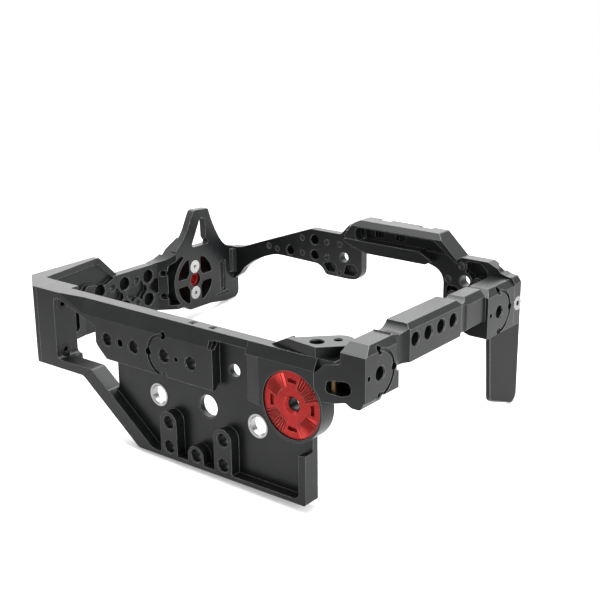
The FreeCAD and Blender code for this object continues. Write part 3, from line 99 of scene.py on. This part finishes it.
def surface(name, dark, light, metallic, rough, grain_mm, bump_mm, edge_mm, edge_highlight, bore_mm=0.0):
    """Finish that drifts from dark to light, with a range of roughness and a grain that bends the normal.

    Edges edge_mm wide take a painted highlight, and a bore of radius bore_mm round the part's Y axis, painted
    shade."""
    material = bpy.data.materials.new(name)
    tree = empty_tree(material)
    where = add(tree, "ShaderNodeTexCoord")
    patch = add(tree, "ShaderNodeTexNoise", {"Scale": 1 / (PATCH_MM * MM), "Detail": 3.0, "Roughness": 0.55},
                {"Vector": (where, "Object")})
    grain = add(tree, "ShaderNodeTexNoise", {"Scale": 1 / (grain_mm * MM), "Detail": 2.0, "Roughness": 0.6},
                {"Vector": (where, "Object")})
    low, high = NOISE_SPAN
    drift = add(tree, "ShaderNodeValToRGB", {"stops": ((low, srgb(dark)), (high, srgb(light)))},
                {"Fac": (patch, "Fac")})
    shine = add(tree, "ShaderNodeMapRange",
                {"From Min": low, "From Max": high, "To Min": rough[0], "To Max": rough[1]},
                {"Value": (grain, "Fac")})
    edge = add(tree, "ShaderNodeBevel", {"samples": EDGE_SAMPLES, "Radius": edge_mm * MM})
    bump = add(tree, "ShaderNodeBump", {"Strength": GRAIN_STRENGTH, "Distance": bump_mm * MM},
               {"Height": (grain, "Fac"), "Normal": (edge, "Normal")})
    face = add(tree, "ShaderNodeNewGeometry")
    match = add(tree, "ShaderNodeVectorMath", {"operation": "DOT_PRODUCT"},
                {0: (edge, "Normal"), 1: (face, "Normal")})
    # Painted highlight: the edge colour is mixed in where the rounded normal leaves the face's own
    painted_edge_highlight = add(tree, "ShaderNodeMapRange",
               {"From Min": EDGE_MATCH[0], "From Max": EDGE_MATCH[1], "To Min": EDGE_HIGHLIGHT_SHARE, "To Max": 0.0},
               {"Value": (match, "Value")})
    tone = add(tree, "ShaderNodeMixRGB", {"Color2": srgb(edge_highlight)},
               {"Fac": (painted_edge_highlight, "Result"), "Color1": (drift, "Color")})
    # Painted shade: the bore's wall is coloured dark in place of its shadow
    if bore_mm:
        flat = add(tree, "ShaderNodeVectorMath", {"operation": "MULTIPLY", 1: (1.0, 0.0, 1.0)},
                   {0: (where, "Object")})
        away = add(tree, "ShaderNodeVectorMath", {"operation": "LENGTH"}, {0: (flat, "Vector")})
        painted_bore_shade = add(tree, "ShaderNodeMath", {"operation": "LESS_THAN", 1: bore_mm * MM},
                     {0: (away, "Value")})
        tone = add(tree, "ShaderNodeMixRGB", {"Color2": srgb(SHADED_BORE)},
                   {"Fac": (painted_bore_shade, "Value"), "Color1": (tone, "Color")})
    shader = add(tree, "ShaderNodeBsdfPrincipled", {"Metallic": metallic, "Specular IOR Level": SHEEN},
                 {"Base Color": (tone, "Color"), "Roughness": (shine, "Result"), "Normal": (bump, "Normal")})
    add(tree, "ShaderNodeOutputMaterial", None, {"Surface": (shader, "BSDF")})
    return material


# In each finish, the edge colour is a painted highlight along the part's edges
# Aluminium under a clear dyed oxide: the metal shines through, so the red is bright, with tinted highlights
RED_ANODISED = {
    "dark": "88130f", "light": "9a1d19", "metallic": 0.6, "rough": (0.24, 0.34),
    "grain_mm": 0.4, "bump_mm": 0.01, "edge_mm": 0.09, "edge_highlight": "f4b4ac",
}

FINISHES = {
    # Milled aluminium under a dyed black oxide: near black, satin, with pale sheen on faces that catch a lamp
    "black_anodised": surface(
        "black_anodised_aluminium", dark="0d0e0f", light="161718", metallic=0.25, rough=(0.28, 0.40),
        grain_mm=0.35, bump_mm=0.02, edge_mm=0.3, edge_highlight="8a8c8c"),
    "red_anodised": surface("red_anodised_aluminium", **RED_ANODISED),
    # Turned steel left bare: neutral grey mirror, softened by fine tool marks
    "bright_steel": surface(
        "bright_machined_steel", dark="8e8e8e", light="a6a6a4", metallic=1.0, rough=(0.22, 0.34),
        grain_mm=0.3, bump_mm=0.01, edge_mm=0.12, edge_highlight="dededc"),
    # Oxide-blackened steel: more metallic than the anodised parts round it, and a shade lighter
    "black_steel": surface(
        "blackened_steel", dark="18181a", light="232325", metallic=0.6, rough=(0.30, 0.40),
        grain_mm=0.3, bump_mm=0.01, edge_mm=0.12, edge_highlight="707070"),
    # Moulded rubber: dull, with a grain that scatters the light
    "pad_rubber": surface(
        "matt_black_rubber", dark="0c0c0d", light="131314", metallic=0.0, rough=(0.70, 0.85),
        grain_mm=0.5, bump_mm=0.05, edge_mm=0.2, edge_highlight="242425"),
    # Drawn brass rod: a dim warm metal, darkened as painted shade of the slot it sits deep in
    "pin_brass": surface(
        "drawn_brass", dark="5e4c30", light="70593a", metallic=1.0, rough=(0.34, 0.46),
        grain_mm=0.3, bump_mm=0.01, edge_mm=0.1, edge_highlight="8a7350"),
}

# The front rosette's hub is bored through, and the bore's wall is painted black as shade
ROSETTE_BORE_R = 3.1
FRONT_RED = surface("red_anodised_aluminium_bored", **RED_ANODISED, bore_mm=ROSETTE_BORE_R)

slots = {entry["node"]: entry["material_slot"] for entry in frame["record"]["subparts"]}
for name, node in nodes.items():
    finish = FRONT_RED if name == "front_rosette" else FINISHES[slots[name]]
    node.data.materials.clear()
    node.data.materials.append(finish)
    for polygon in node.data.polygons:
        polygon.material_index = 0

# Floors of the holes that are blind on the photographed cage and go through in the part, in mm
HOLE_FLOOR_THICK = 0.8
HOLE_FLOOR_LAP = 0.1
ARM_HOLES = ((-109.0, 25.1), (-127.4, 15.9), (-109.0, 15.9))
ARM_HOLE_Y = 163.4
ARM_HOLE_R = 2.9
CELL_X = -187.6
CELL_FIRST_Y = 56.0
CELL_PITCH = 19.05
CELL_ROWS_Z = (5.2, -8.9)
CELLS_IN_ROW = 3
CELL_R = 3.9
ALONG_Y = (math.pi / 2, 0, 0)
ALONG_X = (0, math.pi / 2, 0)

blind = [((x, ARM_HOLE_Y, z), ARM_HOLE_R, ALONG_Y) for x, z in ARM_HOLES]
blind += [((CELL_X, CELL_FIRST_Y + CELL_PITCH * k, z), CELL_R, ALONG_X)
          for z in CELL_ROWS_Z for k in range(CELLS_IN_ROW)]
for index, (centre, radius, turned) in enumerate(blind):
    bpy.ops.mesh.primitive_cylinder_add(
        vertices=32, radius=(radius + HOLE_FLOOR_LAP) * MM, depth=HOLE_FLOOR_THICK * MM,
        location=[value * MM for value in centre], rotation=turned)
    disc = bpy.context.object
    disc.name = "hole_floor_" + str(index + 1)
    disc.data.materials.append(FINISHES["black_anodised"])
    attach(disc, "root")

# Wedge under the tab, in mm, that closes the corner between the beam's end and the slotted block. Its lower
# edge runs just above the block's two top facets, and its top just under the tab.
BEAM_END_X = 12.8
FACET_LOW_Z = 18.3
FACET_BEND = (18.8, 23.7)
WEDGE_TIP_X = 21.9
WEDGE_TOP_Z = 24.25
WEDGE_Y = (3.0, 10.9)

profile = [(BEAM_END_X, FACET_LOW_Z), FACET_BEND, (WEDGE_TIP_X, WEDGE_TOP_Z), (BEAM_END_X, WEDGE_TOP_Z)]
sides = len(profile)
corners = [(x * MM, y * MM, z * MM) for y in WEDGE_Y for x, z in profile]
front_face = tuple(range(sides))
back_face = tuple(reversed(range(sides, 2 * sides)))
rim = [(k, k + sides, (k + 1) % sides + sides, (k + 1) % sides) for k in range(sides)]
wedge_mesh = bpy.data.meshes.new("tab_wedge")
wedge_mesh.from_pydata(corners, [], [front_face, back_face] + rim)
wedge_mesh.update()
wedge = bpy.data.objects.new("tab_wedge", wedge_mesh)
bpy.context.scene.collection.objects.link(wedge)
wedge_mesh.materials.append(FINISHES["black_anodised"])
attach(wedge, "root")

# Floor through the three points the cage stands on: front plate's lower edge, leg, and rear left corner
FOOT_FRONT = Vector((-96.98, 9.0, -47.0)) * MM
FOOT_LEG = Vector((37.8, 130.17, -31.08)) * MM
FOOT_REAR_LEFT = Vector((-178.5, 160.34, -22.35)) * MM
MIDDLE = Vector((-75.0, 80.0, 0.0)) * MM
FLOOR_DROP = 0.3 * MM
FLOOR_SIZE = 6.0

up_floor = (FOOT_LEG - FOOT_FRONT).cross(FOOT_REAR_LEFT - FOOT_FRONT).normalized()
if up_floor.z < 0:
    up_floor = -up_floor
turn = up_floor.to_track_quat("Z", "Y").to_matrix().to_4x4()
under_middle = MIDDLE - up_floor * (MIDDLE - FOOT_FRONT).dot(up_floor)

FIBRE_MM = 1.5
PAPER_FADE_M = (0.16, 0.42)
PAPER_FADE_SHARE = (0.35, 1.0)


def paper(name):
    """Pale matt paper that shows the object's shadow near it, and fades to plain white further out."""
    material = bpy.data.materials.new(name)
    tree = empty_tree(material)
    where = add(tree, "ShaderNodeTexCoord")
    away = add(tree, "ShaderNodeVectorMath", {"operation": "LENGTH"}, {0: (where, "Object")})
    fibre = add(tree, "ShaderNodeTexNoise", {"Scale": 1 / (FIBRE_MM * MM), "Detail": 3.0},
                {"Vector": (where, "Object")})
    tint = add(tree, "ShaderNodeValToRGB", {"stops": ((0.0, srgb("f4f4f4")), (1.0, srgb("fafafa")))},
               {"Fac": (fibre, "Fac")})
    lit = add(tree, "ShaderNodeBsdfPrincipled", {"Roughness": 0.9}, {"Base Color": (tint, "Color")})
    plain = add(tree, "ShaderNodeEmission", {"Color": srgb("ffffff"), "Strength": 1.0})
    fade = add(tree, "ShaderNodeMapRange",
               {"From Min": PAPER_FADE_M[0], "From Max": PAPER_FADE_M[1],
                "To Min": PAPER_FADE_SHARE[0], "To Max": PAPER_FADE_SHARE[1]},
               {"Value": (away, "Value")})
    shown = add(tree, "ShaderNodeMath", {"operation": "MULTIPLY"},
                {0: (fade, "Result"), 1: (background_rays(tree), "Value")})
    both = add(tree, "ShaderNodeMixShader", None,
               {"Fac": (shown, "Value"), 1: (lit, "BSDF"), 2: (plain, "Emission")})
    add(tree, "ShaderNodeOutputMaterial", None, {"Surface": (both, "Shader")})
    return material


bpy.ops.mesh.primitive_plane_add(size=FLOOR_SIZE)
floor = bpy.context.object
floor.name = "floor"
floor.matrix_world = Matrix.Translation(under_middle - up_floor * FLOOR_DROP) @ turn
floor.data.materials.append(paper("pale_paper"))

# World: plain white where the background shows, and a dim fill on everything else
FILL_STRENGTH = 0.3
world = bpy.data.worlds.new("studio")
bpy.context.scene.world = world
tree = empty_tree(world)
white = add(tree, "ShaderNodeBackground", {"Color": srgb("ffffff"), "Strength": 1.0})
fill = add(tree, "ShaderNodeBackground", {"Color": srgb("f8f8f8"), "Strength": FILL_STRENGTH})
both = add(tree, "ShaderNodeMixShader", None,
           {"Fac": (background_rays(tree), "Value"), 1: (fill, "Background"), 2: (white, "Background")})
add(tree, "ShaderNodeOutputWorld", None, {"Surface": (both, "Shader")})


def softbox(name, place, size, power):
    """Rectangular area light at place, in metres, aimed at the middle of the cage."""
    light = bpy.data.lights.new(name, "AREA")
    light.shape = "RECTANGLE"
    light.size, light.size_y = size
    light.energy = power
    holder = bpy.data.objects.new(name, light)
    bpy.context.scene.collection.objects.link(holder)
    holder.location = place
    holder.rotation_mode = "QUATERNION"
    holder.rotation_quaternion = (MIDDLE - Vector(place)).to_track_quat("-Z", "Y")


softbox("overhead", (-0.1, 0.25, 0.9), size=(1.3, 1.0), power=26.0)
softbox("behind", (-0.75, 0.95, 0.75), size=(1.7, 1.1), power=14.0)
softbox("left_side", (-0.9, -0.1, 0.45), size=(0.6, 0.6), power=3.0)
softbox("right_side", (0.85, -0.15, 0.35), size=(0.6, 0.6), power=11.0)

# Camera where the photograph was taken from, as a place in metres and turns in degrees
CAMERA_PLACE = (0.30033, -0.37163, 0.19977)
CAMERA_TURN = (72.46235, 0.53515, 38.22902)
SENSOR_MM = 36
LENS_MM = 70.37

camera_data = bpy.data.cameras.new("photo_camera")
camera_data.sensor_width = SENSOR_MM
camera_data.lens = LENS_MM
camera_data.clip_start = 0.01
camera = bpy.data.objects.new("photo_camera", camera_data)
bpy.context.scene.collection.objects.link(camera)
camera.location = CAMERA_PLACE
camera.rotation_euler = [math.radians(angle) for angle in CAMERA_TURN]
bpy.context.scene.camera = camera
bpy.context.scene.view_settings.view_transform = "Standard"
